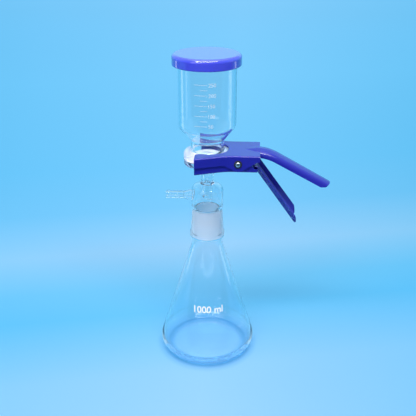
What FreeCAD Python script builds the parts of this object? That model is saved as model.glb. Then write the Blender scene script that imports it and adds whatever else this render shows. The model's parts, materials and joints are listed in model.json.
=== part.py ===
"""Glass vacuum filtration unit: conical flask, filter head with hose barb, fritted disc,
graduated funnel, funnel cap and a sprung two-jaw clamp.

Millimetres, +Z up.  The origin is the centre of the flask's flat base.  The clamp's handles
point to +X, the hose barb to -X, and the graduated side of the funnel faces -Y.
"""
import FreeCAD, Part
import math
import os

from FreeCAD import Vector

# ---------------------------------------------------------------- driving dimensions
# flask
base_radius = 67.0
heel_radius = 17.0
flask_height = 220.0
flask_wall = 2.4
neck_round = 40.0            # hollow curve between the cone and the neck
neck_length = 13.4           # from the cone's upper corner to the ground joint

# ground joint between flask and filter head, 40/35
joint_radius = 20.0          # at its large, lower end
joint_length = 35.0
joint_taper = 0.05           # radius lost in each millimetre of height
joint_gap = 0.1
mouth_lip = 2.0              # clear glass above the ground zone of the flask

# filter head
head_height = 114.5          # from the lip of its socket to the ground contact face
socket_wall = 2.4
socket_overlap = 6.0         # lip of the socket below the ground zone
lip_height = 8.5
lip_bulge = 1.0
lip_round = 1.5
socket_step = 4.5            # height of the step between the bell and the socket
socket_step_round = 3.0
mouth_chamfer = 1.5
bell_radius = 21.5
bell_wall = 2.2
bell_shoulder = 73.7         # height of the bell's shoulder above the lip
bell_round = 9.0
dome_rise = 5.0
stem_round = 3.0             # between the dome and the stem
stem_radius = 8.4
stem_bore = 4.4
stem_length = 12.3
bowl_radius = 18.0           # of the bowl that carries the disc, at its lower edge
bowl_depth = 15.0            # from the contact face to that edge
bowl_round = 7.0
bowl_foot_round = 5.0        # between the bowl and the stem
bowl_wall = 2.6
drip_radius = 6.4
drip_drop = 19.5             # tip of the drip tube below the bell's shoulder
drip_cut = 5.0               # height of the tip's oblique cut

# hose barb
barb_drop = 13.5             # its axis below the bell's shoulder
barb_reach = 56.0
barb_radius = 5.0
barb_bore = 2.8
barb_ridges = 4
barb_pitch = 5.8
barb_ridge_height = 0.8
barb_ridge_lead = 0.55       # share of the pitch that climbs
barb_groove_drop = 0.3
barb_flare_radius = 8.2
barb_flare_length = 10.0
barb_flare_root = 6.0        # round between the flare and the bell
barb_flare_round = 8.0
barb_tip_taper = 1.2

# ground flanges of the filter head and the funnel
flange_radius = 31.0
funnel_flange_height = 8.9
funnel_flange_slope = 0.33
head_flange_height = 7.8
head_flange_slope = 0.074
flange_round = 4.5
head_flange_round = 2.2
head_flange_root = 23.8
head_flange_root_round = 1.2
funnel_flange_root_round = 3.0
ground_edge = 0.8            # round of the edges beside a ground face

# fritted disc
disc_radius = 19.2
disc_thickness = 4.0
disc_gap = 0.1
disc_ledge = 1.8
disc_edge = 0.4

# funnel
funnel_radius = 37.4
funnel_wall = 2.5
funnel_neck_radius = 21.9
funnel_neck_height = 24.5    # contact face to the start of the shoulder
funnel_shoulder = 18.5       # height of the shoulder
funnel_height = 134.2
funnel_shoulder_round = 13.0
funnel_neck_round = 5.0
rim_flare = 3.2              # how far the rim stands out of the funnel's wall
rim_height = 10.0
rim_start_round = 6.0
rim_lip = 4.0                # straight part of the flared rim, and the round below it

# cap
cap_radius = 44.0
cap_height = 14.3
cap_wall = 1.9
cap_round = 4.8
cap_inner_round = 1.2
cap_edge = 1.3               # rounds of the skirt's lower edge, outside and inside
cap_inner_edge = 0.4
cap_shift = 0.6              # the loose cap sits this far towards the barb
cap_gap = 0.15

# clamp
sheet = 1.5
seat_radius = 24.9           # circle on the flanges' slopes where the jaws bear
seat_gap = 0.3
notch_radius = 25.6
notch_centre = 3.0
mouth_half_width = 24.6
mouth_round = 6.0
jaw_tip = 14.0               # ends of the arms beyond the glass axis
jaw_tip_half_width = 45.2
jaw_half_width = 30.0
jaw_waist = 26.0             # where the sides become parallel
jaw_side_round = 54.0
jaw_end = 69.0
nest_gap = 0.5               # between the walls of the two jaws
crease_round = 2.0

pivot_x = 41.1
pivot_rise = 1.7             # pivot axis above the contact face
ear_radius = 9.8
ear_flat = 0.45              # half width of the ear's foot, as a share of its radius
upper_wall_depth = 12.6
upper_ear_slope = 13.5       # run of the upper ear's flank towards the glass
upper_tail_slope = 20.0      # and of its flank towards the handle
upper_tail_depth = 8.0
lower_wall_height = 12.6
lower_ear_radius = 8.4
lower_ear_slope = 7.0
lower_tail_height = 10.5
lower_tail_end = 58.5        # here the lower wall steps down beside the handle
lower_step_run = 4.0
lower_step_height = 4.5
lower_step_round = 2.0
wall_round = 4.0
lower_plate_end = 66.0

# handles: pressed channels whose walls lean out and are cut back at the tip
handle_crown = 2.2
handle_crown_round = 16.0
upper_bend_start = 63.5
upper_bend_radius = 60.0
upper_bend_angle = 28.6
upper_handle_run = 78.6      # from the bend to the end of the tip
upper_root_half_width = 14.0
upper_tip_half_width = 10.5
upper_tip_flare = 2.2        # how far a wall's edge stands out beyond its corner
upper_handle_depth = 7.3
upper_handle_corner = 6.5
upper_tip_corner = 9.0       # in plan
upper_tip_cut = 12.0         # length over which the walls are cut back
bead_length = 14.0
bead_tip_half_width = 1.5
bead_crown = 1.75
lower_bend_start = 60.0
lower_bend_radius = 7.0
lower_bend_angle = 54.4
lower_handle_run = 88.8
lower_handle_half_width = 14.0
lower_handle_flare = 5.5
lower_root_depth = 5.8
lower_tip_depth = 6.6
lower_handle_corner = 3.5
lower_tip_corner = 4.0
lower_tip_cut = 8.0
tip_cut_round = 20.0

# pivot
pin_radius = 2.3
pin_running_gap = 0.08
pin_head_radius = 3.3
pin_head_height = 1.7
washer_radius = 5.1
washer_thickness = 1.0

# torsion spring
wire_radius = 1.0
coil_radius = 4.2            # to the middle of the wire
coil_turns = 6
coil_pitch = 2.3
leg_length = 20.0

# ---------------------------------------------------------------- places worked out
joint_base_z = flask_height - mouth_lip - joint_length
joint_tip_z = joint_base_z + joint_length
joint_tip_radius = joint_radius - joint_taper * joint_length

head_bottom_z = joint_base_z - socket_overlap
contact_z = head_bottom_z + head_height
shoulder_z = head_bottom_z + bell_shoulder
barb_z = shoulder_z - barb_drop
drip_tip_z = shoulder_z - drip_drop
stem_top_z = shoulder_z + dome_rise + stem_length
bowl_edge_z = contact_z - bowl_depth

rim_z = contact_z + funnel_height
rim_radius = funnel_radius + rim_flare

upper_seat_z = contact_z + funnel_flange_height + (flange_radius - seat_radius) * funnel_flange_slope
lower_seat_z = contact_z - head_flange_height - (flange_radius - seat_radius) * head_flange_slope
upper_plate_z = upper_seat_z + seat_gap + sheet
lower_plate_z = lower_seat_z - seat_gap - sheet
pivot_z = contact_z + pivot_rise
nest_inset = sheet + nest_gap

X_AXIS = Vector(1, 0, 0)
Y_AXIS = Vector(0, 1, 0)
Z_AXIS = Vector(0, 0, 1)
ORIGIN = Vector(0, 0, 0)


# ---------------------------------------------------------------- outlines with rounded corners
def corner_trims(points, radii, closed):
    """Length that each corner's arc takes from its two sides, shrunk where a side is too short."""
    count = len(points)
    trims = [0.0] * count
    for i in range(count):
        if radii[i] <= 0 or (not closed and i in (0, count - 1)):
            continue
        before = (points[i - 1] - points[i]).normalize()
        after = (points[(i + 1) % count] - points[i]).normalize()
        half = before.getAngle(after) / 2
        if half < math.pi / 2 - 1e-4:
            trims[i] = radii[i] / math.tan(half)
    for i in range(count if closed else count - 1):
        j = (i + 1) % count
        side = (points[j] - points[i]).Length
        wanted = trims[i] + trims[j]
        if wanted > 0.98 * side:
            trims[i] *= 0.98 * side / wanted
            trims[j] *= 0.98 * side / wanted
    return trims


def rounded_edges(corners, closed=False):
    """Lines and tangent arcs in the XZ plane through corners given as (x, z, radius)."""
    points = [Vector(x, 0, z) for x, z, radius in corners]
    trims = corner_trims(points, [radius for x, z, radius in corners], closed)
    count = len(points)
    edges = []
    starts = []
    ends = []
    for i in range(count):
        corner = points[i]
        if trims[i] == 0:
            starts.append(corner)
            ends.append(corner)
            continue
        before = (points[i - 1] - corner).normalize()
        after = (points[(i + 1) % count] - corner).normalize()
        half = before.getAngle(after) / 2
        radius = trims[i] * math.tan(half)
        middle = (before + after).normalize() * (radius / math.sin(half) - radius)
        starts.append(corner + before * trims[i])
        ends.append(corner + after * trims[i])
        edges.append((i, Part.Arc(starts[i], corner + middle, ends[i]).toShape()))
    arcs = dict(edges)
    path = []
    for i in range(count):
        if i in arcs:
            path.append(arcs[i])
        j = (i + 1) % count
        if (closed or j > 0) and (starts[j] - ends[i]).Length > 1e-7:
            path.append(Part.LineSegment(ends[i], starts[j]).toShape())
    return path


def rounded_face(corners):
    """Face inside a closed outline with rounded corners, in the XZ plane."""
    return Part.Face(Part.Wire(rounded_edges(corners, closed=True)))


def offset_corners(corners, distance):
    """The same path moved to its left by a distance, with its arcs kept concentric."""
    points = [Vector(x, 0, z) for x, z, radius in corners]
    moved = []
    for i, (x, z, radius) in enumerate(corners):
        before = (points[i] - points[i - 1]).normalize() if i > 0 else None
        after = (points[i + 1] - points[i]).normalize() if i < len(points) - 1 else None
        before = before or after
        after = after or before
        left_before = Vector(-before.z, 0, before.x)
        left_after = Vector(-after.z, 0, after.x)
        mitre = (left_before + left_after).normalize()
        reach = distance / mitre.dot(left_before)
        turn = before.x * after.z - before.z * after.x
        new_radius = radius - distance if turn > 0 else radius + distance
        new_radius = max(new_radius, 0.2) if radius > 0 else 0
        moved.append((x + mitre.x * reach, z + mitre.z * reach, new_radius))
    return moved


def wall_face(corners, wall, end_round=0.0):
    """Closed outline of a wall whose one side is the path and whose other side is its offset."""
    other = offset_corners(corners, wall)
    near = list(corners)
    near[-1] = (near[-1][0], near[-1][1], end_round)
    other[-1] = (other[-1][0], other[-1][1], end_round)
    return rounded_face(near + other[::-1])


def turned(face):
    """Solid made by turning a face of the XZ plane about the Z axis."""
    return face.revolve(ORIGIN, Z_AXIS, 360)


def joined(first, *others):
    """One solid made of touching pieces, without the seams between them."""
    return first.multiFuse(list(others)).removeSplitter()


def export(shape, node):
    """Write one closed solid under its node name."""
    solid = shape.Solids[0] if len(shape.Solids) == 1 else shape
    assert len(shape.Solids) == 1 and solid.isValid(), node
    solid.exportStep("parts/" + node + ".step")
    print("%-16s volume %8.0f mm3" % (node, solid.Volume))


# ---------------------------------------------------------------- flask
def flask():
    """Conical flask of even wall, blown in one piece, with a ground cone outside its neck."""
    # the cone's side runs from the neck's corner down to the heel's arc, which it touches
    cone_top_z = joint_base_z - neck_length
    across = base_radius - heel_radius - joint_radius
    down = cone_top_z - heel_radius
    lean = math.atan(across / down) + math.asin(heel_radius / math.hypot(across, down))
    corner = joint_radius + cone_top_z * math.tan(lean)
    path = [
        (0, 0, 0),
        (corner, 0, heel_radius),
        (joint_radius, cone_top_z, neck_round),
        (joint_radius, joint_base_z, 0),
        (joint_tip_radius, joint_tip_z, 0),
        (joint_tip_radius - joint_taper * mouth_lip, flask_height, 0),
    ]
    return turned(wall_face(path, flask_wall, end_round=0.45 * flask_wall))


# ---------------------------------------------------------------- filter head
def barb_profile(radius_offset, ridges):
    """Half outline of the hose barb along its axis, from inside the bell out to its tip."""
    flare_x = bell_radius + barb_flare_length
    ridge_x = barb_reach - barb_tip_taper - barb_ridges * barb_pitch
    neck = barb_radius - radius_offset
    groove = neck - barb_groove_drop
    root = barb_flare_radius - radius_offset
    path = [(0.5 * bell_radius, root, 0)]
    path.append((bell_radius - 0.5 * bell_wall, root, barb_flare_root))
    path.append((flare_x, neck, barb_flare_round))
    if ridges:
        for i in range(barb_ridges):
            x = ridge_x + i * barb_pitch
            path.append((x, groove, barb_tip_taper))
            path.append((x + barb_ridge_lead * barb_pitch, neck + barb_ridge_height, barb_tip_taper))
        path.append((barb_reach - 0.5 * barb_tip_taper, groove, 0.5 * barb_tip_taper))
    path.append((barb_reach, neck - barb_tip_taper if ridges else neck, 0))
    return path


def barb_solid(path):
    """Solid of the barb's outline turned about the barb's own axis, which points to -X."""
    outline = path + [(path[-1][0], 0, 0), (path[0][0], 0, 0)]
    solid = rounded_face(outline).revolve(ORIGIN, X_AXIS, 360)
    solid.rotate(ORIGIN, Z_AXIS, 180)
    solid.translate(Vector(0, 0, barb_z))
    return solid


def filter_head():
    """Blown and pressed head: flanged bowl, stem and drip tube, bell, ground socket and barb."""
    lower_flange_z = contact_z - head_flange_height
    root_z = lower_flange_z - (flange_radius - head_flange_root) * head_flange_slope
    socket_outside = joint_radius + joint_gap + socket_wall
    socket_top = joint_tip_radius + joint_gap + socket_wall
    lip_outside = socket_outside + joint_taper * socket_overlap + lip_bulge
    lip_top_z = head_bottom_z + lip_height
    outside = [
        (0, contact_z, 0),
        (flange_radius, contact_z, ground_edge),
        (flange_radius, lower_flange_z, head_flange_round),
        (head_flange_root, root_z, head_flange_root_round),
        (bowl_radius, bowl_edge_z, bowl_round),
        (stem_radius, stem_top_z, bowl_foot_round),
        (stem_radius, shoulder_z + dome_rise, stem_round),
        (bell_radius, shoulder_z, bell_round),
        (bell_radius, joint_tip_z + socket_step, socket_step_round),
        (socket_top, joint_tip_z, socket_step_round),
        (socket_outside, lip_top_z, lip_round),
        (lip_outside, lip_top_z - lip_round, lip_round),
        (lip_outside, head_bottom_z, lip_round),
        (0, head_bottom_z, 0),
    ]
    socket_mouth = joint_radius + joint_gap + joint_taper * socket_overlap
    socket_end = joint_tip_radius + joint_gap
    bell_inside = bell_radius - bell_wall
    dome_under_z = shoulder_z + dome_rise - bell_wall
    inside = [
        (0, head_bottom_z - mouth_chamfer, 0),
        (socket_mouth + mouth_chamfer, head_bottom_z - mouth_chamfer, 0),
        (socket_mouth, head_bottom_z + mouth_chamfer, mouth_chamfer),
        (socket_end, joint_tip_z, 0),
        (socket_end, joint_tip_z + socket_step - bell_wall, socket_step_round),
        (bell_inside, joint_tip_z + socket_step + bell_wall, socket_step_round),
        (bell_inside, shoulder_z - 0.7 * bell_wall, bell_round - bell_wall),
        (stem_radius, dome_under_z, 0),
        (0, dome_under_z, 0),
    ]
    ledge_z = contact_z - disc_thickness
    bowl_bore = [
        (0, contact_z + ground_edge, 0),
        (disc_radius + disc_gap, contact_z + ground_edge, 0),
        (disc_radius + disc_gap, ledge_z, 0),
        (disc_radius - disc_ledge, ledge_z, 0),
        (bowl_radius - 1.7 * bowl_wall, bowl_edge_z + 1.4 * bowl_wall, bowl_round - bowl_wall),
        (stem_bore, stem_top_z + 0.4 * bowl_wall, bowl_foot_round),
        (stem_bore, drip_tip_z - bowl_wall, 0),
        (0, drip_tip_z - bowl_wall, 0),
    ]
    drip_length = dome_under_z + 0.5 * bell_wall - drip_tip_z
    drip = Part.makeCylinder(drip_radius, drip_length, Vector(0, 0, drip_tip_z))
    slope = math.degrees(math.atan(drip_cut / (2 * drip_radius)))
    room = 4 * drip_radius
    wedge = Part.makeBox(2 * room, 2 * room, room, Vector(-room, -room, -room))
    wedge.rotate(ORIGIN, Y_AXIS, slope)
    wedge.translate(Vector(0, 0, drip_tip_z + drip_cut / 2))
    bell = joined(turned(rounded_face(outside)), barb_solid(barb_profile(0, True)))
    bell = bell.cut(turned(rounded_face(inside)))
    bell = joined(bell, drip.cut(wedge))
    bore = barb_solid(barb_profile(barb_radius - barb_bore, False))
    bell = bell.cut(bore.cut(drip))
    return bell.cut(turned(rounded_face(bowl_bore)))


def fritted_disc():
    """Sintered glass disc on the ledge of the bowl, flush with the contact face."""
    outline = [
        (0, contact_z - disc_thickness, 0),
        (disc_radius, contact_z - disc_thickness, disc_edge),
        (disc_radius, contact_z, disc_edge),
        (0, contact_z, 0),
    ]
    return turned(rounded_face(outline))


# ---------------------------------------------------------------- funnel and cap
def funnel():
    """Graduated cylinder with a round shoulder, a narrow neck and a thick ground flange."""
    flange_edge_z = contact_z + funnel_flange_height
    flange_top_z = flange_edge_z + (flange_radius - funnel_neck_radius) * funnel_flange_slope
    neck_z = contact_z + funnel_neck_height
    outside = [
        (funnel_neck_radius, flange_top_z, funnel_flange_root_round),
        (funnel_neck_radius, neck_z, funnel_neck_round),
        (funnel_radius, neck_z + funnel_shoulder, funnel_shoulder_round),
        (funnel_radius, rim_z - rim_height, rim_start_round),
        (rim_radius, rim_z - rim_lip, rim_lip),
        (rim_radius, rim_z, 0),
    ]
    inside = offset_corners(outside, funnel_wall)
    bore_radius = funnel_neck_radius - funnel_wall
    inside[0] = (bore_radius, contact_z, ground_edge)
    rim_round = 0.45 * funnel_wall
    outside[-1] = (rim_radius, rim_z, rim_round)
    inside[-1] = (inside[-1][0], rim_z, rim_round)
    flange = [
        (bore_radius, contact_z, ground_edge),
        (flange_radius, contact_z, ground_edge),
        (flange_radius, flange_edge_z, flange_round),
    ]
    return turned(rounded_face(flange + outside + inside[:0:-1]))


def funnel_cap():
    """Moulded lid with a round top edge, hung loosely over the funnel's rim."""
    under_z = rim_z + cap_gap
    top_z = under_z + cap_wall
    outline = [
        (0, under_z, 0),
        (cap_radius - cap_wall, under_z, cap_inner_round),
        (cap_radius - cap_wall, top_z - cap_height, cap_inner_edge),
        (cap_radius, top_z - cap_height, cap_edge),
        (cap_radius, top_z, cap_round),
        (0, top_z, 0),
    ]
    cap = turned(rounded_face(outline))
    cap.translate(Vector(-cap_shift, 0, 0))
    return cap


# ---------------------------------------------------------------- clamp
def side_path(inset, start_x, end_x):
    """Plan line of a jaw's +Y side between two places along the clamp, moved in by an inset."""
    lean = (jaw_tip_half_width - jaw_half_width) / (jaw_waist + jaw_tip)
    across = inset * math.sqrt(1 + lean * lean)
    waist_x = jaw_waist - (across - inset) / lean
    half_width = jaw_half_width - inset
    return [
        (start_x, half_width + lean * (waist_x - start_x), 0),
        (waist_x, half_width, jaw_side_round + inset),
        (end_x, half_width, 0),
    ]


def flat_to_plan(shape):
    """Lay a shape of the XZ plane down into the XY plane, so that its z becomes y."""
    laid = shape.copy()
    laid.rotate(ORIGIN, X_AXIS, -90)
    return laid.mirror(ORIGIN, Y_AXIS)


def jaw_block(inset, top_z, edge_round):
    """Block of a jaw's plan form below a height, its long top edges rounded."""
    side = side_path(inset, -jaw_tip - sheet, jaw_end + sheet)
    other = [(x, -y, radius) for x, y, radius in reversed(side)]
    tall = 2 * jaw_half_width
    block = flat_to_plan(rounded_face(side + other)).extrude(Z_AXIS * -tall)
    block.translate(Vector(0, 0, top_z))
    half_width = side[-1][1] - 0.01
    creases = [edge for edge in block.Edges
               if all(abs(v.Z - top_z) < 0.01 and abs(v.Y) > half_width for v in edge.Vertexes)
               and abs(edge.Vertexes[0].Y + edge.Vertexes[-1].Y) > half_width]
    return block.makeFillet(edge_round, creases)


def pressed_sheet(inset, plate_z, walls, side_outline):
    """Sheet folded down (walls = -1) or up (walls = 1) at its sides, trimmed and notched."""
    outside = jaw_block(inset, 0, crease_round)
    inside = jaw_block(inset + sheet, -sheet, crease_round - sheet)
    folded = outside.cut(inside)
    if walls > 0:
        folded = folded.mirror(ORIGIN, Z_AXIS)
    folded.translate(Vector(0, 0, plate_z))
    window = rounded_face(side_outline)
    window.translate(Vector(0, -2 * jaw_tip_half_width, 0))
    folded = folded.common(window.extrude(Y_AXIS * 4 * jaw_tip_half_width))
    notch = Part.makeCylinder(notch_radius, 4 * sheet, Vector(notch_centre, 0, plate_z - 2 * sheet))
    mouth = Part.makeBox(2 * jaw_tip + notch_centre, 2 * mouth_half_width, 4 * sheet,
                         Vector(-2 * jaw_tip, -mouth_half_width, plate_z - 2 * sheet))
    folded = folded.cut(notch.fuse(mouth))
    corners = [edge for edge in folded.Edges
               if all(abs(v.X + jaw_tip) < 0.01 and abs(abs(v.Y) - mouth_half_width) < 0.01
                      for v in edge.Vertexes)]
    return folded.makeFillet(mouth_round, corners)


def channel_section(half_width, flare, depth, corner, opens):
    """Face across a channel in the XZ plane: a crowned web and two walls that lean out."""
    path = [
        (-half_width - flare, -depth, 0),
        (-half_width, 0, corner),
        (0, handle_crown, handle_crown_round),
        (half_width, 0, corner),
        (half_width + flare, -depth, 0),
    ]
    if opens > 0:
        path = [(y, -z, radius) for y, z, radius in path]
    return wall_face(path, opens * sheet)


def channel(plate_level, start, bend_radius, bend_angle, run, root, tip, corner, trim, opens):
    """Pressed channel: bend away from the plate, then a straight run to a trimmed tip.

    root and tip are the section's (half width, flare, depth) at both ends of the run.  trim is
    the plan round of the tip and the length over which the walls are cut back.  opens is -1
    for a channel whose walls point down and 1 for one whose walls point up.
    """
    root_face = channel_section(*root, corner, opens)
    tip_face = channel_section(*tip, corner, opens)
    for face in (root_face, tip_face):
        face.rotate(ORIGIN, Z_AXIS, 90)
    tip_face.translate(X_AXIS * run)
    straight = Part.makeLoft([root_face.OuterWire, tip_face.OuterWire], True, True)
    half_width, flare, depth = tip
    reach = half_width + flare + sheet
    tip_corner, tip_cut = trim
    plan = flat_to_plan(rounded_face([
        (-reach, -reach, 0),
        (run, -reach, tip_corner + sheet),
        (run, reach, tip_corner + sheet),
        (-reach, reach, 0),
    ]))
    plan.translate(Z_AXIS * -2 * depth)
    straight = straight.common(plan.extrude(Z_AXIS * 4 * depth))
    profile = [
        (-reach, 2 * depth, 0),
        (run + sheet, 2 * depth, 0),
        (run + sheet, -sheet, 0),
        (run - tip_cut, -depth - sheet, tip_cut_round),
        (-reach, -depth - sheet, 0),
    ]
    if opens > 0:
        profile = [(x, -z, radius) for x, z, radius in profile]
    side = rounded_face(profile)
    side.translate(Y_AXIS * -reach)
    straight = straight.common(side.extrude(Y_AXIS * 2 * reach))
    turn = math.radians(bend_angle)
    straight.rotate(ORIGIN, Y_AXIS, bend_angle)
    drop = bend_radius * (1 - math.cos(turn))
    straight.translate(Vector(start + bend_radius * math.sin(turn), 0, plate_level - drop))
    root_face.translate(Vector(start, 0, plate_level))
    bend = root_face.revolve(Vector(start, 0, plate_level - bend_radius), Y_AXIS, bend_angle)
    return bend, straight


def bead():
    """Pressed swelling that leads the upper handle's crown out of the flat plate."""
    bows = []
    tip_x = upper_bend_start - bead_length
    wide = upper_root_half_width - 0.5 * upper_handle_corner
    for x, half_width, rise in ((tip_x, bead_tip_half_width, 0), (upper_bend_start, wide, bead_crown)):
        base_z = upper_plate_z - 0.2 * sheet
        left = Vector(x, -half_width, base_z)
        right = Vector(x, half_width, base_z)
        arc = Part.Arc(left, Vector(x, 0, upper_plate_z + rise), right).toShape()
        bows.append(Part.Wire([arc, Part.LineSegment(right, left).toShape()]))
    return Part.makeLoft(bows, True, True)


def pivot_hole(radius):
    """Cutter along the pivot's axis, longer than the clamp is wide."""
    half = 2 * jaw_half_width
    return Part.makeCylinder(radius, 2 * half, Vector(pivot_x, -half, pivot_z), Y_AXIS)


def upper_jaw():
    """Upper sheet of the clamp: notched plate, side walls with pivot ears, arched handle."""
    wall_low = upper_plate_z - upper_wall_depth
    tail_low = upper_plate_z - upper_tail_depth
    ear_low = pivot_z - ear_radius
    foot = ear_flat * ear_radius
    outline = [
        (-jaw_tip, upper_plate_z, 0),
        (-jaw_tip, wall_low, 0),
        (pivot_x - foot - upper_ear_slope, wall_low, wall_round),
        (pivot_x - foot, ear_low, ear_radius),
        (pivot_x + foot, ear_low, ear_radius),
        (pivot_x + foot + upper_tail_slope, tail_low, wall_round),
        (jaw_end, tail_low, 0),
        (jaw_end, upper_plate_z, 0),
    ]
    body = pressed_sheet(0, upper_plate_z, -1, outline)
    root = (upper_root_half_width, 0, upper_handle_depth)
    tip = (upper_tip_half_width, upper_tip_flare, upper_handle_depth)
    trim = (upper_tip_corner, upper_tip_cut)
    parts = channel(upper_plate_z, upper_bend_start, upper_bend_radius, upper_bend_angle,
                    upper_handle_run, root, tip, upper_handle_corner, trim, -1)
    body = joined(body, bead(), *parts)
    return body.cut(pivot_hole(pin_radius + pin_running_gap / 2))


def lower_jaw():
    """Lower sheet of the clamp: its walls stand up inside the upper ones; handle opens upward."""
    wall_high = lower_plate_z + lower_wall_height
    tail_high = lower_plate_z + lower_tail_height
    step_high = lower_plate_z + lower_step_height
    ear_high = pivot_z + lower_ear_radius
    foot = ear_flat * lower_ear_radius
    outline = [
        (-jaw_tip, lower_plate_z, 0),
        (-jaw_tip, wall_high, 0),
        (pivot_x - foot - lower_ear_slope, wall_high, wall_round),
        (pivot_x - foot, ear_high, lower_ear_radius),
        (pivot_x + foot, ear_high, lower_ear_radius),
        (pivot_x + foot + lower_ear_slope, tail_high, wall_round),
        (lower_tail_end, tail_high, lower_step_round),
        (lower_tail_end + lower_step_run, step_high, lower_step_round),
        (lower_plate_end, step_high, 0),
        (lower_plate_end, lower_plate_z, 0),
    ]
    body = pressed_sheet(nest_inset, lower_plate_z, 1, outline)
    root = (lower_handle_half_width, lower_handle_flare, lower_root_depth)
    tip = (lower_handle_half_width, lower_handle_flare, lower_tip_depth)
    trim = (lower_tip_corner, lower_tip_cut)
    parts = channel(lower_plate_z, lower_bend_start, lower_bend_radius, lower_bend_angle,
                    lower_handle_run, root, tip, lower_handle_corner, trim, 1)
    body = joined(body, *parts)
    return body.cut(pivot_hole(pin_radius + pin_running_gap))


def pivot_pin():
    """Rivet through both jaws, with a domed head closed over a washer at each side."""
    seat = jaw_half_width + washer_thickness
    outline = [
        (0, -seat - pin_head_height, 0),
        (pin_head_radius, -seat - pin_head_height, pin_head_height * 0.95),
        (pin_head_radius, -seat, 0),
        (pin_radius, -seat, 0),
        (pin_radius, seat, 0),
        (pin_head_radius, seat, 0),
        (pin_head_radius, seat + pin_head_height, pin_head_height * 0.95),
        (0, seat + pin_head_height, 0),
    ]
    pin = turned(rounded_face(outline))
    pin.rotate(ORIGIN, X_AXIS, 90)
    pin.translate(Vector(pivot_x, 0, pivot_z))
    return pin


def washer(side):
    """Flat washer between a rivet head and the upper jaw; side is -1 at the front, 1 at the back."""
    bore = pin_radius + pin_running_gap / 2
    outline = [
        (bore, 0, 0),
        (washer_radius, 0, 0),
        (washer_radius, washer_thickness, 0.35),
        (bore, washer_thickness, 0),
    ]
    ring = turned(rounded_face(outline))
    ring.rotate(ORIGIN, X_AXIS, -90 * side)
    ring.translate(Vector(pivot_x, side * jaw_half_width, pivot_z))
    return ring


def torsion_spring():
    """Coil on the pivot whose two legs push the handles apart, which closes the jaws."""
    leg_reach = upper_plate_z - sheet - seat_gap - wire_radius - pivot_z
    rise = math.asin((leg_reach - coil_radius) / leg_length)
    sweep = 2 * math.pi * coil_turns - math.pi - 2 * rise
    turns = sweep / (2 * math.pi)
    length = turns * coil_pitch
    helix = Part.makeHelix(coil_pitch, length, coil_radius).Edges[0]
    start = helix.valueAt(helix.FirstParameter)
    finish = helix.valueAt(helix.LastParameter)
    start_way = helix.tangentAt(helix.FirstParameter) * -1
    finish_way = helix.tangentAt(helix.LastParameter)
    profile = Part.Wire(Part.makeCircle(wire_radius, start, start_way))
    coil = Part.Wire([helix]).makePipeShell([profile], True, True)
    upper_leg = Part.makeCylinder(wire_radius, leg_length, start, start_way)
    lower_leg = Part.makeCylinder(wire_radius, leg_length, finish, finish_way)
    spring = joined(coil, upper_leg, lower_leg)
    # the helix rises up Z from +X; lay it along the pivot so that it starts at the upper leg
    spring.rotate(ORIGIN, X_AXIS, 90)
    spring.rotate(ORIGIN, Y_AXIS, -math.degrees(math.pi / 2 + rise))
    spring.translate(Vector(pivot_x, length / 2, pivot_z))
    return spring


# ---------------------------------------------------------------- export
os.makedirs("parts", exist_ok=True)
export(flask(), "flask")
export(filter_head(), "filter_head")
export(fritted_disc(), "fritted_disc")
export(funnel(), "funnel")
export(funnel_cap(), "funnel_cap")
export(upper_jaw(), "upper_jaw")
export(lower_jaw(), "lower_jaw")
export(pivot_pin(), "pivot_pin")
export(washer(-1), "washer_front")
export(washer(1), "washer_rear")
export(torsion_spring(), "torsion_spring")
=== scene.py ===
import json
import math

import bmesh
import bpy
import numpy as np
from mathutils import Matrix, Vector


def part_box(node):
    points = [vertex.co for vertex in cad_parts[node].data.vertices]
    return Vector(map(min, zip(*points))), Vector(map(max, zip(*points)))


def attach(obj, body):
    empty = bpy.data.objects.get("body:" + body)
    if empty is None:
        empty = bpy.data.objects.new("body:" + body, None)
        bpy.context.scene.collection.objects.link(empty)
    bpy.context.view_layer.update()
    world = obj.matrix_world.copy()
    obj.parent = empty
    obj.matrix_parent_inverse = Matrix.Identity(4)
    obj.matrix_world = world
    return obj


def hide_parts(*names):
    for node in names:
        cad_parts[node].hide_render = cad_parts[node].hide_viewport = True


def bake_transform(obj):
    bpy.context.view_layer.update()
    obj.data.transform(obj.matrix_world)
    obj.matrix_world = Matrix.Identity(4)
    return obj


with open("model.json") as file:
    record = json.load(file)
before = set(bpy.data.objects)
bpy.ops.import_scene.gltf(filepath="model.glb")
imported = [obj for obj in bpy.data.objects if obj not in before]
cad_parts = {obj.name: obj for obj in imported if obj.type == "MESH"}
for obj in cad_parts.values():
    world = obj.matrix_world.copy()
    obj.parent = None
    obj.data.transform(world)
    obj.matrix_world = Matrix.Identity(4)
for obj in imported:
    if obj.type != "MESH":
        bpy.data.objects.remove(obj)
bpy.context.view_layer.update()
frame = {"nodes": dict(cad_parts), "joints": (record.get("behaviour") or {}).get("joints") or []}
scene = bpy.context.scene
scene.view_settings.view_transform = "Standard"
glass_bounces = 32           # a ray crosses many walls of glass
scene.cycles.max_bounces = glass_bounces
scene.cycles.transmission_bounces = glass_bounces
scene.cycles.transparent_max_bounces = glass_bounces
scene.cycles.glossy_bounces = glass_bounces // 2

# ---------------------------------------------------------------- camera
# A fairly long lens that stands a little to the right of the graduated side and looks down on
# the unit, about 25 degrees below the horizon.
lens_length = 57.84          # in millimetres; all other lengths are in metres
view_turn = math.radians(3.7)
camera_distance = 0.8284
camera_height = 0.5951
camera_pitch = math.radians(24.49)
camera_aim_turn = math.radians(0.069)

camera = bpy.data.objects.new("camera", bpy.data.cameras.new("camera"))
camera.data.lens = lens_length
camera.location = (camera_distance * math.sin(view_turn),
                   -camera_distance * math.cos(view_turn), camera_height)
camera.rotation_euler = (math.pi / 2 - camera_pitch, 0, view_turn - camera_aim_turn)
scene.collection.objects.link(camera)
scene.camera = camera


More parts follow.
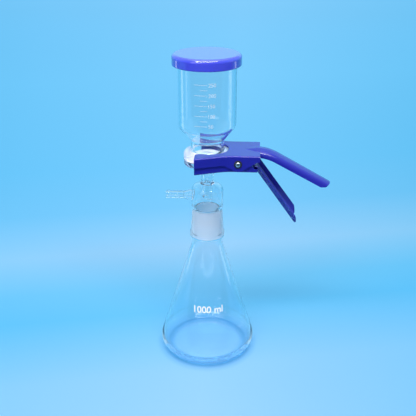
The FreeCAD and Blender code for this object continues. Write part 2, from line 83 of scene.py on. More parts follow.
# ---------------------------------------------------------------- table, room and lamps
# A seamless sheet of pale blue paper lies under the unit and fades into a pale blue room, which
# is darker behind the eye.  A strip lamp and a wide panel hang above, a dim panel fills in from
# the front, two narrow cards stand at the sides and a pale blue panel stands at the back.
def node_maker(tree):
    """Clear a node tree and return a function that adds a node to it.  An input, given by its
    name or number, takes a constant or the output that feeds it."""
    tree.nodes.clear()

    def node(kind, inputs=None, **settings):
        made = tree.nodes.new("ShaderNode" + kind)
        for key, value in settings.items():
            setattr(made, key, value)
        for socket, value in (inputs or {}).items():
            if isinstance(value, bpy.types.NodeSocket):
                tree.links.new(value, made.inputs[socket])
            else:
                made.inputs[socket].default_value = value
        return made

    return node


def shader(name):
    """New material, and the function that adds nodes to it."""
    material = bpy.data.materials.new(name)
    material.use_nodes = True
    return material, node_maker(material.node_tree)


def ramp(made, stops):
    """Fill a colour ramp node with (place, colour) stops; a colour's fourth value is its alpha."""
    elements = made.color_ramp.elements
    for i, (place, colour) in enumerate(stops):
        element = elements[i] if i < len(elements) else elements.new(place)
        element.position = place
        element.color = colour
    return made


def seen_by_eye(node):
    """1 for what the eye sees, straight, through glass or mirrored, and 0 for the light that
    falls on other things."""
    path = node("LightPath")
    seen = node("Math", {0: path.outputs["Is Camera Ray"],
                         1: path.outputs["Is Transmission Ray"]}, operation="MAXIMUM")
    return node("Math", {0: seen.outputs[0], 1: path.outputs["Is Glossy Ray"]},
                operation="MAXIMUM").outputs[0]


def mesh_object(name, points, faces, smooth=True):
    """Object at the origin from an array of points and a list or array of faces, smooth or flat
    all over or face by face."""
    mesh = bpy.data.meshes.new(name)
    mesh.from_pydata(np.asarray(points).tolist(), [],
                     faces.tolist() if isinstance(faces, np.ndarray) else faces)
    mesh.polygons.foreach_set("use_smooth", np.full(len(mesh.polygons), smooth))
    mesh.update()
    made = bpy.data.objects.new(name, mesh)
    scene.collection.objects.link(made)
    return made


paper_size = 8.0
paper_near = -0.75           # the bands of colour start here, before the unit,
paper_far = 4.25             # and end here, behind it
paper_spacing = 0.5          # packs the bands closer where the paper is near
paper_slant = 0.23           # the bands lie a little askew to the unit
paper_colours = [            # from the near end to the far one; the fourth value is the glow
    (0.00, (0.040, 0.100, 0.160, 0.4)),
    (0.22, (0.040, 0.110, 0.180, 0.4)),
    (0.32, (0.320, 0.610, 0.960, 0.5)),
    (0.37, (0.300, 0.610, 0.960, 0.5)),
    (0.41, (0.150, 0.555, 0.930, 0.5)),
    (0.43, (0.185, 0.580, 0.930, 0.5)),
    (0.46, (0.330, 0.640, 0.950, 0.5)),
    (0.50, (0.200, 0.580, 0.930, 0.55)),
    (0.55, (0.175, 0.575, 0.930, 0.6)),
    (0.70, (0.200, 0.600, 0.950, 0.7)),
    (1.00, (0.230, 0.610, 0.960, 0.8)),
]
paper_diffuse = 0.5          # how much of the colour scatters the lamps' light
paper_fan_centre = 1.1       # how far before the unit the lines of the sideways fading meet
paper_fan_width = 0.5        # half the width of the fading, one metre past that centre
paper_sides = [              # from left to right
    (0.00, (0.60, 0.86, 0.90, 1)),
    (0.22, (0.80, 0.94, 0.97, 1)),
    (0.50, (1.00, 1.00, 1.00, 1)),
    (0.78, (0.72, 0.92, 0.95, 1)),
    (1.00, (0.50, 0.82, 0.86, 1)),
]
painted_shade_reach = 0.1
painted_foot_shade = [               # painted shade under the unit, from its middle out to that reach
    (0.00, (0.95, 0.93, 0.96, 1)),
    (0.46, (0.95, 0.93, 0.96, 1)),
    (0.53, (0.52, 0.74, 0.84, 1)),
    (0.60, (0.36, 0.62, 0.76, 1)),
    (0.66, (0.78, 0.89, 0.94, 1)),
    (0.74, (1.00, 1.00, 1.00, 1)),
]
black = (0, 0, 0, 1)

paper = mesh_object("table_paper",
                    [(-paper_size, -paper_size, 0), (paper_size, -paper_size, 0),
                     (paper_size, paper_size, 0), (-paper_size, paper_size, 0)],
                    [(0, 1, 2, 3)], False)
# The paper's colour runs in bands from front to back and fades to the sides, and a painted shade
# darkens it round the foot.  Half of it scatters the lamps' light, and a glow that lights nothing
# else is added.
material, node = shader("pale_blue_paper")
place = node("TexCoord").outputs["Object"]
axes = node("SeparateXYZ", {0: place})
askew = node("Math", {0: axes.outputs["X"], 1: -paper_slant, 2: axes.outputs["Y"]},
             operation="MULTIPLY_ADD")
along = node("MapRange", {"Value": askew.outputs[0],
                          "From Min": paper_near, "From Max": paper_far})
spaced = node("Math", {0: along.outputs["Result"], 1: paper_spacing}, operation="POWER")
bands = ramp(node("ValToRGB", {"Fac": spaced.outputs[0]}), paper_colours)
away = node("Math", {0: axes.outputs["Y"], 1: paper_fan_centre}, operation="ADD")
fan = node("Math", {0: axes.outputs["X"], 1: away.outputs[0]}, operation="DIVIDE")
side = node("MapRange", {"Value": fan.outputs[0],
                         "From Min": -paper_fan_width, "From Max": paper_fan_width})
fading = ramp(node("ValToRGB", {"Fac": side.outputs["Result"]}), paper_sides)
faded = node("Mix", {"Factor": 1, "A": bands.outputs["Color"], "B": fading.outputs["Color"]},
             data_type="RGBA", blend_type="MULTIPLY")
# Painted shade round the foot: the paper's glow and matt colour darken with the distance from the
# unit's middle.
from_unit = node("VectorMath", {0: place}, operation="LENGTH")
near_unit = node("MapRange", {"Value": from_unit.outputs["Value"],
                              "From Max": painted_shade_reach})
foot = ramp(node("ValToRGB", {"Fac": near_unit.outputs["Result"]}), painted_foot_shade)
colour = node("Mix", {"Factor": 1, "A": faded.outputs["Result"], "B": foot.outputs["Color"]},
              data_type="RGBA", blend_type="MULTIPLY").outputs["Result"]
dimmed = node("Mix", {"Factor": 1 - paper_diffuse, "A": colour, "B": black}, data_type="RGBA")
matt = node("BsdfDiffuse", {"Color": dimmed.outputs["Result"]})
strength = node("Math", {0: seen_by_eye(node), 1: bands.outputs["Alpha"]},
                operation="MULTIPLY")
glow = node("Emission", {"Color": colour, "Strength": strength.outputs[0]})
both = node("AddShader", {0: matt.outputs[0], 1: glow.outputs[0]})
node("OutputMaterial", {"Surface": both.outputs[0]})
paper.data.materials.append(material)

room_ambient = (0.86, 0.93, 1.0, 1)
room_ambient_strength = 0.44
room_seen = [                # from straight down to straight up
    (0.0, (0.20, 0.55, 0.90, 1)),
    (0.5, (0.20, 0.55, 0.90, 1)),
    (0.62, (0.32, 0.66, 0.95, 1)),
    (0.8, (0.45, 0.72, 0.95, 1)),
    (1.0, (0.55, 0.78, 0.95, 1)),
]
room_behind_strength = 0.35  # of what is seen of the room behind the eye
room_dark_up_to = -0.45      # a direction's part that points to the back: darkest below this
room_full_from = 0.05        # and at full strength from this on
world = bpy.data.worlds.new("pale_room")
scene.world = world
world.use_nodes = True
node = node_maker(world.node_tree)
axes = node("SeparateXYZ", {0: node("TexCoord").outputs["Generated"]})
height = node("MapRange", {"Value": axes.outputs["Z"], "From Min": -1})
sky = ramp(node("ValToRGB", {"Fac": height.outputs["Result"]}), room_seen)
behind = node("MapRange", {"Value": axes.outputs["Y"], "From Min": room_dark_up_to,
                           "From Max": room_full_from, "To Min": room_behind_strength})
seen_room = node("Background", {"Color": sky.outputs["Color"],
                                "Strength": behind.outputs["Result"]})
ambient = node("Background", {"Color": room_ambient, "Strength": room_ambient_strength})
both = node("MixShader", {"Fac": seen_by_eye(node), 1: ambient.outputs[0],
                          2: seen_room.outputs[0]})
node("OutputWorld", {"Surface": both.outputs[0]})


def panel(name, width, depth, place, aim, brightness, colour):
    """Rectangular lamp of an even brightness, turned towards a point."""
    lamp = bpy.data.lights.new(name, "AREA")
    lamp.shape = "RECTANGLE"
    lamp.size = width
    lamp.size_y = depth
    lamp.energy = brightness * math.pi * width * depth
    lamp.color = colour
    made = bpy.data.objects.new(name, lamp)
    made.location = place
    way = np.array(aim) - np.array(place)
    flat = math.hypot(way[0], way[1])
    made.rotation_euler = (math.atan2(flat, -way[2]), 0, math.atan2(-way[0], way[1]))
    scene.collection.objects.link(made)


unit_middle = (0, 0, 0.25)
bell_middle = (0, 0, 0.17)
white_light = (1, 1, 1)
blue_light = (0.37, 0.77, 1.0)
panel("strip_above", 1.70, 0.20, (0.03, -0.80, 1.75), unit_middle, 25.0, white_light)
panel("panel_above", 1.8, 1.4, (0, 0.25, 2.2), unit_middle, 1.1, white_light)
panel("panel_front", 1.2, 1.2, (-0.9, -1.5, 1.1), unit_middle, 1.3, white_light)
panel("card_left", 0.10, 0.34, (-0.62, 0.22, 0.17), bell_middle, 1.3, white_light)
panel("card_right", 0.10, 0.34, (0.66, 0.20, 0.17), bell_middle, 1.3, white_light)
panel("panel_behind", 4.0, 1.0, (0, 2.9, 1.2), unit_middle, 0.25, blue_light)

# ---------------------------------------------------------------- flask
# Conical flask of clear borosilicate glass, blown into a mould.  The glass gathers in its heel,
# and its bottom is pushed up a little, so that it stands on a ring.  The outside of its neck is
# ground matt where the filter head's socket grips it.
glass_bends = 1.474
glass_tint = (0.985, 0.995, 1.0, 1)
glass_depth_colour = (0.80, 0.88, 0.92, 1)
glass_depth_density = 5.0
lamp_through = (0.96, 0.98, 0.99, 1)         # lamplight that crosses a wall squarely
lamp_through_heel = (0.02, 0.30, 0.55, 1)    # and at a slant, in the flask with its thick heel
ground_roughness = (0.24, 0.36)
ground_through = 0.80        # how much of the light a ground zone of the neck lets through
ground_edge = 0.0003         # a ground zone fades out over this height, up and down,
ground_skin = 0.0002         # and over this width, inward and outward


def zone(node, value, low, high, soft):
    """1 where a value lies between two limits, 0 outside, with soft ends."""
    rise = node("MapRange", {"Value": value, "From Min": low - soft, "From Max": low},
                interpolation_type="SMOOTHSTEP")
    fall = node("MapRange", {"Value": value, "From Min": high, "From Max": high + soft,
                             "To Min": 1, "To Max": 0}, interpolation_type="SMOOTHSTEP")
    return node("Math", {0: rise.outputs["Result"], 1: fall.outputs["Result"]},
                operation="MULTIPLY").outputs[0]


def clear_glass(name, ground_zones, zone_through, zone_tint, lamp_at_slant):
    """Clear glass with matt zones, each given as (low z, high z, low radius, high radius), that
    let a share of the light through and have a tint.  Lamplight isn't bent: it goes straight
    through, in a colour that depends on its slant to the wall."""
    material, node = shader(name)
    place = node("TexCoord").outputs["Object"]
    axes = node("SeparateXYZ", {0: place})
    flat = node("CombineXYZ", {"X": axes.outputs["X"], "Y": axes.outputs["Y"]})
    radius = node("VectorMath", {0: flat.outputs[0]}, operation="LENGTH").outputs["Value"]
    ground = None
    for low_z, high_z, low_radius, high_radius in ground_zones:
        inside = node("Math", {0: zone(node, axes.outputs["Z"], low_z, high_z, ground_edge),
                               1: zone(node, radius, low_radius, high_radius, ground_skin)},
                      operation="MULTIPLY").outputs[0]
        ground = inside if ground is None else node(
            "Math", {0: ground, 1: inside}, operation="MAXIMUM").outputs[0]
    grit = node("TexNoise", {"Vector": place, "Scale": 2600, "Detail": 3}).outputs["Fac"]
    rough = node("MapRange", {"Value": grit, "To Min": ground_roughness[0],
                              "To Max": ground_roughness[1]})
    matt = node("Math", {0: rough.outputs["Result"], 1: ground}, operation="MULTIPLY")
    clear = node("MapRange", {"Value": ground, "To Min": 1, "To Max": zone_through})
    tint = node("Mix", {"Factor": ground, "A": glass_tint, "B": zone_tint}, data_type="RGBA")
    grit_height = node("Math", {0: grit, 1: ground}, operation="MULTIPLY")
    grained = node("Bump", {"Height": grit_height.outputs[0], "Strength": 0.25,
                            "Distance": 0.0001})
    wave = node("TexNoise", {"Vector": place, "Scale": 38, "Detail": 1})
    wavy = node("Bump", {"Height": wave.outputs["Fac"], "Strength": 0.01, "Distance": 0.0012,
                         "Normal": grained.outputs["Normal"]})
    glass = node("BsdfPrincipled", {
        "Base Color": tint.outputs["Result"], "IOR": glass_bends,
        "Transmission Weight": clear.outputs["Result"], "Roughness": matt.outputs[0],
        "Normal": wavy.outputs["Normal"]})
    slant = node("LayerWeight", {"Blend": 0.5})
    crossed = node("Mix", {"Factor": slant.outputs["Facing"], "A": lamp_through,
                           "B": lamp_at_slant}, data_type="RGBA")
    through = node("BsdfTransparent", {"Color": crossed.outputs["Result"]})
    both = node("MixShader", {"Fac": node("LightPath").outputs["Is Shadow Ray"],
                              1: glass.outputs[0], 2: through.outputs[0]})
    depth = node("VolumeAbsorption", {"Color": glass_depth_colour,
                                      "Density": glass_depth_density})
    node("OutputMaterial", {"Surface": both.outputs[0], "Volume": depth.outputs[0]})
    return material


def rounded_outline(corners, line_step, arc_step):
    """Points along a path of straight lines whose corners, given as (across, up, radius), are
    rounded by arcs that touch both lines, and the unit vector square to the path at each."""
    points, facing = [], []
    places = np.array(corners)[:, :2]
    ways = np.diff(places, axis=0)
    ways /= np.linalg.norm(ways, axis=1)[:, None]
    start = places[0]
    for i, way in enumerate(ways):
        last = i == len(ways) - 1
        turn = 0 if last else math.asin(way[0] * ways[i + 1][1] - way[1] * ways[i + 1][0])
        if not last and way @ ways[i + 1] < 0:
            turn = math.copysign(math.pi - abs(turn), turn)
        radius = corners[i + 1][2]
        end = places[i + 1] - way * radius * math.tan(abs(turn) / 2)
        count = max(2, math.ceil(np.linalg.norm(end - start) / line_step))
        share = np.linspace(0, 1, count, endpoint=last)[:, None]
        points.append(start + share * (end - start))
        facing.append(np.tile((way[1], -way[0]), (count, 1)))
        start = end
        if radius and turn:
            bend = np.linspace(0, turn, math.ceil(radius * abs(turn) / arc_step), endpoint=False)
            right = np.array((way[1], -way[0]))
            square = np.cos(bend)[:, None] * right + np.sin(bend)[:, None] * way
            signed_radius = math.copysign(radius, turn)
            hub = end - signed_radius * right
            points.append(hub + signed_radius * square)
            facing.append(square)
            start = hub + signed_radius * (math.cos(turn) * right + math.sin(turn) * way)
    return np.concatenate(points), np.concatenate(facing)


def ring_faces(rings, sides):
    """Faces of a closed skin over a row of rings and two end points, which are numbered last:
    four-sided between the rings, and three-sided from the first and last ring to its end."""
    row = np.arange(rings - 1)[:, None] * sides
    here = np.arange(sides)
    there = (here + 1) % sides
    walls = np.stack([row + here, row + there, row + sides + there, row + sides + here], axis=-1)
    last, ends = (rings - 1) * sides, rings * sides
    first_end = np.stack([np.full(sides, ends), there, here], axis=1)
    last_end = np.stack([np.full(sides, ends + 1), last + here, last + there], axis=1)
    return walls.reshape(-1, 4).tolist() + first_end.tolist() + last_end.tolist()


def turned_solid(name, outline, sides):
    """Body of revolution about the upright axis: each outline point (across, up) runs round a
    circle, and the outline's two ends lie on the axis."""
    around = np.linspace(0, 2 * math.pi, sides, endpoint=False)
    across, up = outline[1:-1, :1], outline[1:-1, 1:]
    rings = np.stack([across * np.cos(around), across * np.sin(around),
                      np.broadcast_to(up, (len(up), sides))], axis=-1)
    poles = np.array([(0, 0, outline[0, 1]), (0, 0, outline[-1, 1])])
    return mesh_object(name, np.concatenate([rings.reshape(-1, 3), poles]),
                       ring_faces(len(up), sides))


base_radius = 0.067
heel_round = 0.017
neck_round = 0.040
neck_foot = 0.1696           # where the cone ends
joint_low = 0.183
joint_high = 0.218
joint_radius = 0.020
joint_tip_radius = 0.01825
joint_skin = (0.0172, 0.0201)    # between these radii lies the outside of the ground neck
mouth_height = 0.220
mouth_radius = 0.01815
half_wall = 0.0012
heel_more = 0.0036           # the extra thickness in the middle of the heel
heel_spread = 0.011          # along the outline, how far it reaches to each side
heel_middle_within = 0.1     # how near to facing out and down alike counts as its middle
hollow_height = 0.0015       # how far the middle of the bottom is pushed up
hollow_reach = 0.054         # the radius from which it rises
line_step = 0.004
arc_step = 0.0005
flask_sides = 192
lip_points = 12

across = base_radius - heel_round - joint_radius
down = neck_foot - heel_round
cone_lean = math.atan(across / down) + math.asin(heel_round / math.hypot(across, down))
outer, square = rounded_outline([
    (0, 0, 0),
    (joint_radius + neck_foot * math.tan(cone_lean), 0, heel_round),
    (joint_radius, neck_foot, neck_round),
    (joint_radius, joint_low, 0),
    (joint_tip_radius, joint_high, 0),
    (mouth_radius, mouth_height - half_wall, 0),
], line_step, arc_step)
# The inner wall is the outer one moved inward, square to itself, by the thickness: twice the half
# wall, and a bell curve over the length of the outline that has its crown in the heel.
run = np.concatenate([[0], np.cumsum(np.linalg.norm(np.diff(outer, axis=0), axis=1))])
heel_run = np.mean(run[np.abs(square[:, 0] - math.sqrt(0.5)) < heel_middle_within])
thickness = 2 * half_wall + heel_more * np.exp(-((run - heel_run) / heel_spread) ** 2)
inner = outer - square * thickness[:, None]
lip_turn = np.linspace(0, math.pi, lip_points + 2)[1:-1]
lip = (mouth_radius - half_wall, mouth_height - half_wall) + half_wall * np.stack(
    [np.cos(lip_turn), np.sin(lip_turn)], axis=1)
# The bottom rises as half a cosine wave from its reach to the middle.
rise = 0.5 + 0.5 * np.cos(math.pi * outer[:, 0] / hollow_reach)
lift = hollow_height * np.where((outer[:, 0] < hollow_reach) & (run < heel_run), rise, 0)
outer[:, 1] += lift
inner[:, 1] += lift
flask = turned_solid("blown_flask", np.concatenate([outer, lip, inner[::-1]]), flask_sides)
flask.data.materials.append(clear_glass(
    "flask_glass", [(joint_low, joint_high, *joint_skin)], ground_through, glass_tint,
    lamp_through_heel))
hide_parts("flask")
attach(flask, "glassware")

# ---------------------------------------------------------------- filter head
# The same glass, blown and pressed: bowl, drip tube, bell, hose barb and socket in one piece.
# The inside of the socket and the flange's top face are ground matt.
lamp_through_edge = (0.45, 0.66, 0.78, 1)    # lamplight at a slant, in walls of even thickness
ground_tint = (0.82, 0.82, 0.89, 1)
socket_through = 0.55        # of the socket and of the flange's top face
socket_lead = 0.004          # how far the ground zone goes on below the neck's
socket_skin = (0.0165, 0.0204)   # radii of the ground zones
flange_face = (0.0194, 0.0312)
face_skin = 0.0002           # a face's ground zone starts this deep in the glass
face_margin = 0.001          # and ends this far outside it


def dress(name, material):
    """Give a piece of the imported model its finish."""
    frame["nodes"][name].material_slots[0].material = material


head_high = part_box("filter_head")[1].z
dress("filter_head", clear_glass("head_glass", [
    (joint_low - socket_lead, joint_high, *socket_skin),
    (head_high - face_skin, head_high + face_margin, *flange_face),
], socket_through, ground_tint, lamp_through_edge))

# ---------------------------------------------------------------- fritted disc
# White disc of glass grains sintered together, which rests on a ledge in the bowl.  Its top
# shows the grains as a fine crust.
disc_tones = (0.88, 0.96)
material, node = shader("sintered_glass")
place = node("TexCoord").outputs["Object"]
grains = node("TexVoronoi", {"Vector": place, "Scale": 2400})
cloud = node("TexNoise", {"Vector": place, "Scale": 260, "Detail": 4})
tone = node("MapRange", {"Value": cloud.outputs["Fac"], "To Min": disc_tones[0],
                         "To Max": disc_tones[1]}).outputs["Result"]
grey = node("CombineColor", {"Red": tone, "Green": tone, "Blue": tone})
crust = node("Bump", {"Height": grains.outputs["Distance"], "Strength": 0.5,
                      "Distance": 0.00015})
sinter = node("BsdfPrincipled", {
    "Base Color": grey.outputs[0], "Roughness": 0.8, "Normal": crust.outputs["Normal"],
    "Subsurface Weight": 0.25, "Subsurface Scale": 0.002})
node("OutputMaterial", {"Surface": sinter.outputs[0]})
dress("fritted_disc", material)

# ---------------------------------------------------------------- funnel
# Graduated funnel of the same glass, clamped to the head.  The ground face of its flange is
# matt, and so is the lower end of its bore, where the grinding wheel leaves the glass.
lapped_tint = (0.97, 0.88, 0.90, 1)
lapped_through = 0.10
lapped_face = (0.0196, 0.0312)
bore_skin = (0.0188, 0.0199)
bore_ground = 0.0042         # how far up the bore the matt glass goes
funnel_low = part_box("funnel")[0].z
dress("funnel", clear_glass("funnel_glass", [
    (funnel_low - face_margin, funnel_low + face_skin, *lapped_face),
    (funnel_low - face_margin, funnel_low + bore_ground, *bore_skin),
], lapped_through, lapped_tint, lamp_through_edge))

# ---------------------------------------------------------------- printed marks
# White enamel fired onto the glass: the funnel's scale of 50 ml steps with its numbers, and the
# capacity on the flask.  Each mark is a film a few hundredths of a millimetre thick.
film_lift = 0.00003
film_thickness = 0.00005
figure_share = 0.73          # the height of the font's figures over its size
curve_steps = 5
enamel_colour = (0.94, 0.94, 0.97, 1)
# The enamel's faint glow is painted light, in place of the light that shines through the thin film
# from behind.
enamel_painted_glow = (0.85, 0.92, 1.0, 1)


def wrapped(points, turn, radius_at):
    """Lay flat points (across, up, out) on a round wall: across becomes an arc of that length at
    the wall's own radius, up is the height, and out is added to the radius."""
    points = np.asarray(points, float)
    wall = radius_at(points[:, 1])
    angle = turn + points[:, 0] / wall
    radius = wall + points[:, 2]
    return np.column_stack([radius * np.sin(angle), -radius * np.cos(angle), points[:, 1]])


def film_patch(low_across, high_across, low_up, high_up, columns):
    """Closed flat slab on a grid: its outer and inner sheets have the same columns, two points
    high, and the sides join them.  Returns points (across, up, out) and four-sided faces."""
    across = np.linspace(low_across, high_across, columns + 1)
    ring = np.array([(low_up, film_lift), (low_up, film_lift + film_thickness),
                     (high_up, film_lift + film_thickness), (high_up, film_lift)])
    points = np.column_stack([np.repeat(across, 4), np.tile(ring, (columns + 1, 1))])
    column = np.arange(columns)[:, None] * 4
    side = np.arange(4)[None, :]
    after = (side + 1) % 4
    faces = np.stack([column + side, column + 4 + side, column + 4 + after, column + after], -1)
    last = columns * 4
    ends = [[0, 1, 2, 3], [last + 3, last + 2, last + 1, last]]
    return points, np.vstack([faces.reshape(-1, 4), ends])


def lettering(words, height, boldness):
    """Points (across, up, out) and faces of a line of text as a film, its left foot at 0."""
    text = bpy.data.curves.new("lettering", "FONT")
    text.body = words
    text.size = height / figure_share
    text.offset = boldness
    text.extrude = film_thickness / 2
    text.resolution_u = curve_steps
    holder = bpy.data.objects.new("lettering", text)
    scene.collection.objects.link(holder)
    bpy.context.view_layer.update()
    mesh = bpy.data.meshes.new_from_object(holder.evaluated_get(
        bpy.context.evaluated_depsgraph_get()))
    mesh.calc_loop_triangles()
    points = np.zeros(len(mesh.vertices) * 3)
    mesh.vertices.foreach_get("co", points)
    points = points.reshape(-1, 3)
    points[:, 2] += film_lift + film_thickness / 2
    faces = np.zeros(len(mesh.loop_triangles) * 3, int)
    mesh.loop_triangles.foreach_get("vertices", faces)
    bpy.data.objects.remove(holder)
    bpy.data.meshes.remove(mesh)
    return points - (points[:, 0].min(), 0, 0), faces.reshape(-1, 3)


def enamel(name, cover):
    """White fired enamel, thin in places, with a faint painted glow in place of the light that
    shines through it: cover is how much of the film is solid.
    """
    material, node = shader(name)
    speckle = node("TexNoise", {"Vector": node("TexCoord").outputs["Object"], "Scale": 2200,
                                "Detail": 4})
    solid = node("MapRange", {"Value": speckle.outputs["Fac"], "From Min": 0.35,
                              "From Max": 0.60, "To Min": cover - 0.2, "To Max": cover})
    fired = node("BsdfPrincipled", {
        "Base Color": enamel_colour, "Roughness": 0.45, "Alpha": solid.outputs["Result"],
        "Emission Color": enamel_painted_glow, "Emission Strength": 0.12})
    node("OutputMaterial", {"Surface": fired.outputs[0]})
    return material


def printed(name, patches, turn, radius_at, material):
    """One object from patches of film, each its points and its faces, wrapped on the glass.  Its
    shells are turned so that every face points out."""
    shift = np.cumsum([0] + [len(points) for points, faces in patches[:-1]])
    points = np.vstack([points for points, faces in patches])
    faces = np.vstack([faces + move for (_, faces), move in zip(patches, shift)])
    made = mesh_object(name, wrapped(points, turn, radius_at), faces, False)
    work = bmesh.new()
    work.from_mesh(made.data)
    bmesh.ops.remove_doubles(work, verts=work.verts, dist=1e-7)
    bmesh.ops.recalc_face_normals(work, faces=work.faces)
    work.to_mesh(made.data)
    work.free()
    made.data.materials.append(material)
    return made


funnel_radius = 0.0374
scale_turn = view_turn       # the scale faces the eye
scale_step = 0.01295
scale_low = 0.3445
scale_numbers = ("50", "100", "150", "200", "250")
long_tick = 0.0162
short_tick = 0.0088
tick_height = 0.00045
tick_columns = 12
number_height = 0.0048
number_start = 0.0014
number_boldness = 0.00002
scale_cover = 0.45
scale_enamel = enamel("scale_enamel", scale_cover)


def funnel_wall(up):
    """Radius of the funnel's straight wall."""
    return np.full(len(up), funnel_radius)


ticks, numbers = [], []
for i in range(2 * len(scale_numbers) - 1):
    up = scale_low + i * scale_step / 2
    length = short_tick if i % 2 else long_tick
    ticks.append(film_patch(-length, 0, up - tick_height / 2, up + tick_height / 2,
                            tick_columns))
for i, words in enumerate(scale_numbers):
    points, faces = lettering(words, number_height, number_boldness)
    up = scale_low + i * scale_step - number_height / 2
    numbers.append((points + (number_start, up, 0), faces))
scale_ticks = printed("funnel_scale_ticks", ticks, scale_turn, funnel_wall, scale_enamel)
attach(scale_ticks, "glassware")
scale_figures = printed("funnel_scale_numbers", numbers, scale_turn, funnel_wall, scale_enamel)
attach(scale_figures, "glassware")

capacity_words = "1000 ml"
capacity_height = 0.0098
capacity_foot = 0.0800
capacity_turn = view_turn + math.radians(2.0)
capacity_boldness = 0.00018
capacity_cover = 1.0


def cone_wall(up):
    """Radius of the flask's cone at a height."""
    return joint_radius + (neck_foot - up) * math.tan(cone_lean)


points, faces = lettering(capacity_words, capacity_height, capacity_boldness)
points[:, 0] -= points[:, 0].max() / 2
points[:, 1] = capacity_foot + points[:, 1] * math.cos(cone_lean)
capacity = printed("flask_capacity_mark", [(points, faces)], capacity_turn, cone_wall,
                   enamel("capacity_enamel", capacity_cover))
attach(capacity, "glassware")

# ---------------------------------------------------------------- funnel cap
# Loose lid, injection moulded in glossy blue plastic, with a rounded top edge and a skirt that
# hangs over the funnel's rim.
cap_colours = ((0.070, 0.085, 0.84, 1), (0.078, 0.096, 0.90, 1))
cap_roughness = (0.05, 0.08)
material, node = shader("cap_plastic")
place = node("TexCoord").outputs["Object"]
flow = node("TexNoise", {"Vector": place, "Scale": 45, "Detail": 2}).outputs["Fac"]
fine = node("TexNoise", {"Vector": place, "Scale": 900})
shade = node("Mix", {"Factor": flow, "A": cap_colours[0], "B": cap_colours[1]},
             data_type="RGBA")
polish = node("MapRange", {"Value": fine.outputs["Fac"], "To Min": cap_roughness[0],
                           "To Max": cap_roughness[1]})
sunk = node("Bump", {"Height": flow, "Strength": 0.03, "Distance": 0.001})
plastic = node("BsdfPrincipled", {
    "Base Color": shade.outputs["Result"], "Roughness": polish.outputs["Result"],
    "Normal": sunk.outputs["Normal"], "IOR": 1.5, "Coat Weight": 1.0, "Coat IOR": 1.5,
    "Coat Roughness": 0.03, "Subsurface Weight": 0.08, "Subsurface Scale": 0.002})
node("OutputMaterial", {"Surface": plastic.outputs[0]})
dress("funnel_cap", material)

# ---------------------------------------------------------------- clamp jaws
# Two jaws pressed from steel sheet and baked with blue enamel paint, which flows to a faint
# orange-peel and varies a little in tone and gloss.
paint_colours = ((0.015, 0.018, 0.38, 1), (0.020, 0.023, 0.44, 1))
paint_roughness = (0.20, 0.30)
material, node = shader("clamp_paint")
place = node("TexCoord").outputs["Object"]
peel = node("TexNoise", {"Vector": place, "Scale": 420, "Detail": 1})
cloud = node("TexNoise", {"Vector": place, "Scale": 30, "Detail": 3}).outputs["Fac"]
shade = node("Mix", {"Factor": cloud, "A": paint_colours[0], "B": paint_colours[1]},
             data_type="RGBA")
polish = node("MapRange", {"Value": cloud, "To Min": paint_roughness[0],
                           "To Max": paint_roughness[1]})
flowed = node("Bump", {"Height": peel.outputs["Fac"], "Strength": 0.10,
                       "Distance": 0.0004}).outputs["Normal"]
paint = node("BsdfPrincipled", {
    "Base Color": shade.outputs["Result"], "Roughness": polish.outputs["Result"],
    "Normal": flowed, "IOR": 1.52, "Coat Weight": 0.35, "Coat Roughness": 0.05,
    "Coat Normal": flowed})
node("OutputMaterial", {"Surface": paint.outputs[0]})
dress("upper_jaw", material)
dress("lower_jaw", material)

# ---------------------------------------------------------------- pivot
# Bright steel rivet through both jaws, closed over a washer of black fibre at each end.  The
# lower jaw turns about it.
rivet_colour = (0.80, 0.81, 0.83, 1)
rivet_roughness = (0.16, 0.34)
fibre_colours = ((0.012, 0.012, 0.014, 1), (0.03, 0.03, 0.035, 1))
pivot = np.array(frame["joints"][0]["pos_m"], float)
material, node = shader("rivet_steel")
centred = node("Mapping", {"Vector": node("TexCoord").outputs["Object"], "Location": -pivot})
stretched = node("Mapping", {"Vector": centred.outputs["Vector"], "Scale": (1, 0.05, 1)})
marks = node("TexNoise", {"Vector": stretched.outputs["Vector"],
                          "Scale": 2500}).outputs["Fac"]
polish = node("MapRange", {"Value": marks, "To Min": rivet_roughness[0],
                           "To Max": rivet_roughness[1]})
scored = node("Bump", {"Height": marks, "Strength": 0.12, "Distance": 0.0001})
steel = node("BsdfPrincipled", {
    "Base Color": rivet_colour, "Metallic": 1, "Roughness": polish.outputs["Result"],
    "Normal": scored.outputs["Normal"]})
node("OutputMaterial", {"Surface": steel.outputs[0]})
dress("pivot_pin", material)

material, node = shader("black_fibre")
fibre = node("TexNoise", {"Vector": node("TexCoord").outputs["Object"], "Scale": 1800,
                          "Detail": 5}).outputs["Fac"]
shade = node("Mix", {"Factor": fibre, "A": fibre_colours[0], "B": fibre_colours[1]},
             data_type="RGBA")
rough = node("Bump", {"Height": fibre, "Strength": 0.3, "Distance": 0.0001})
board = node("BsdfPrincipled", {
    "Base Color": shade.outputs["Result"], "Roughness": 0.55,
    "Normal": rough.outputs["Normal"]})
node("OutputMaterial", {"Surface": board.outputs[0]})
dress("washer_front", material)
dress("washer_rear", material)

# ---------------------------------------------------------------- torsion spring
# Hard-drawn steel wire wound close on the rivet.  One leg presses up under the upper jaw and
# the other down on the lower one, so the coil winds up when the handles are squeezed.
wire_radius = 0.001
wire_sides = 20
wire_colour = (0.56, 0.56, 0.57, 1)
wire_roughness = (0.22, 0.40)
coil_radius = 0.0042
coil_pitch = 0.0023
coil_whole_turns = 5
turn_steps = 48
leg_rise = math.radians(11.57)
leg_length = 0.020
leg_steps = 24


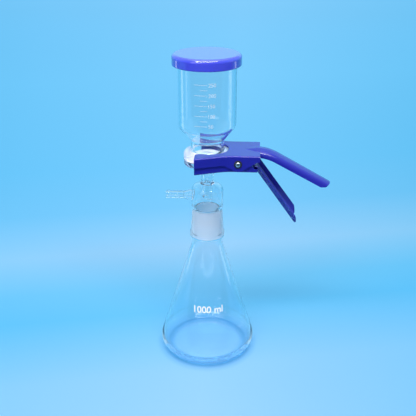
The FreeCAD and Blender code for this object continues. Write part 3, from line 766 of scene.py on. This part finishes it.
def wire_path():
    """Middle of the wire, from the end of the upper leg to the end of the lower one: two straight
    legs that touch a helix about the pivot.  Down the helix the angle grows evenly from the upper
    leg's point of touch, a quarter turn and the rise past +X, and y falls by a pitch each turn."""
    start = math.pi / 2 + leg_rise
    sweep = math.pi - 2 * leg_rise + 2 * math.pi * coil_whole_turns
    angle = start + np.linspace(0, sweep, turn_steps * (coil_whole_turns + 1))
    length = coil_pitch * sweep / (2 * math.pi)
    fall = -coil_pitch / (2 * math.pi)
    coil = np.column_stack([coil_radius * np.cos(angle), length / 2 + fall * (angle - start),
                            coil_radius * np.sin(angle)])

    def way(at):
        along = np.array([-coil_radius * math.sin(at), fall, coil_radius * math.cos(at)])
        return along / np.linalg.norm(along)

    reach = np.linspace(0, leg_length, leg_steps + 1)[1:, None]
    upper = coil[0] - reach[::-1] * way(angle[0])
    lower = coil[-1] + reach * way(angle[-1])
    return np.vstack([upper, coil, lower]) + pivot, length


def tube(middle_line, radius, sides):
    """Round tube along a line: at each point a circle in the plane across the line, its first
    spoke as near to the pivot's axis as that plane allows.  Both ends close to a point."""
    way = np.gradient(middle_line, axis=0)
    way /= np.linalg.norm(way, axis=1)[:, None]
    axis = np.array([0.0, 1.0, 0.0])
    spoke = axis - (way @ axis)[:, None] * way
    spoke /= np.linalg.norm(spoke, axis=1)[:, None]
    other = np.cross(way, spoke)
    angle = np.linspace(0, 2 * math.pi, sides, endpoint=False)
    ring = (spoke[:, None, :] * np.cos(angle)[None, :, None]
            + other[:, None, :] * np.sin(angle)[None, :, None]) * radius
    points = (middle_line[:, None, :] + ring).reshape(-1, 3)
    return (np.vstack([points, middle_line[:1], middle_line[-1:]]),
            ring_faces(len(middle_line), sides))


middle_line, coil_length = wire_path()
points, faces = tube(middle_line, wire_radius, wire_sides)
spring = mesh_object("torsion_spring_wire", points, faces, [len(face) == 4 for face in faces])
material, node = shader("spring_steel")
drawn = node("TexNoise", {"Vector": node("TexCoord").outputs["Object"], "Scale": 1500,
                          "Detail": 3})
polish = node("MapRange", {"Value": drawn.outputs["Fac"], "To Min": wire_roughness[0],
                           "To Max": wire_roughness[1]})
steel = node("BsdfPrincipled", {"Base Color": wire_colour, "Metallic": 1,
                                "Roughness": polish.outputs["Result"]})
node("OutputMaterial", {"Surface": steel.outputs[0]})
spring.data.materials.append(material)
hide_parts("torsion_spring")
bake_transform(spring)
